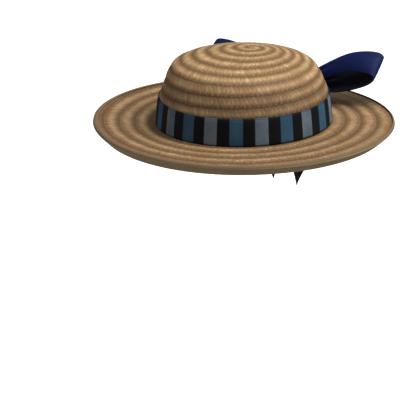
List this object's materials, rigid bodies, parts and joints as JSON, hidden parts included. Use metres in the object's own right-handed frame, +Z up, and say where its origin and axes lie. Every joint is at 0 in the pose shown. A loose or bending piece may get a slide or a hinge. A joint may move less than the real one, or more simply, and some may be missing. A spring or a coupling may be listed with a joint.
{
  "type": "straw hat",
  "caption": "Domed straw hat with a wide flat brim, bound at the edge, with a striped ribbon band and a ribbon bow with pointed tails at the back.",
  "frame": {"origin": "centre of the head opening, level with the top of the brim at the foot of the crown", "axes": "+Z up through the crown, -Y towards the front of the hat, +Y towards the bow at the back, +X towards the wearer's left"},
  "size_m": [0.3158, 0.3313, 0.1946],
  "materials": {
    "straw": "plaited natural straw, sewn in rows, matt with a faint sheen",
    "edge_tape": "matt khaki cotton tape",
    "striped_band": "ribbed ribbon with black, blue and grey upright stripes",
    "ribbon": "navy satin ribbon, near black on its reverse"
  },
  "bodies": {
    "root": {"crown": "straw", "brim": "straw", "edge_binding": "edge_tape", "hat_band": "striped_band", "bow_knot": "ribbon", "bow_loop_left": "ribbon", "bow_loop_right": "ribbon", "tail_outer": "ribbon", "tail_inner": "ribbon"}
  },
  "joints": []
}
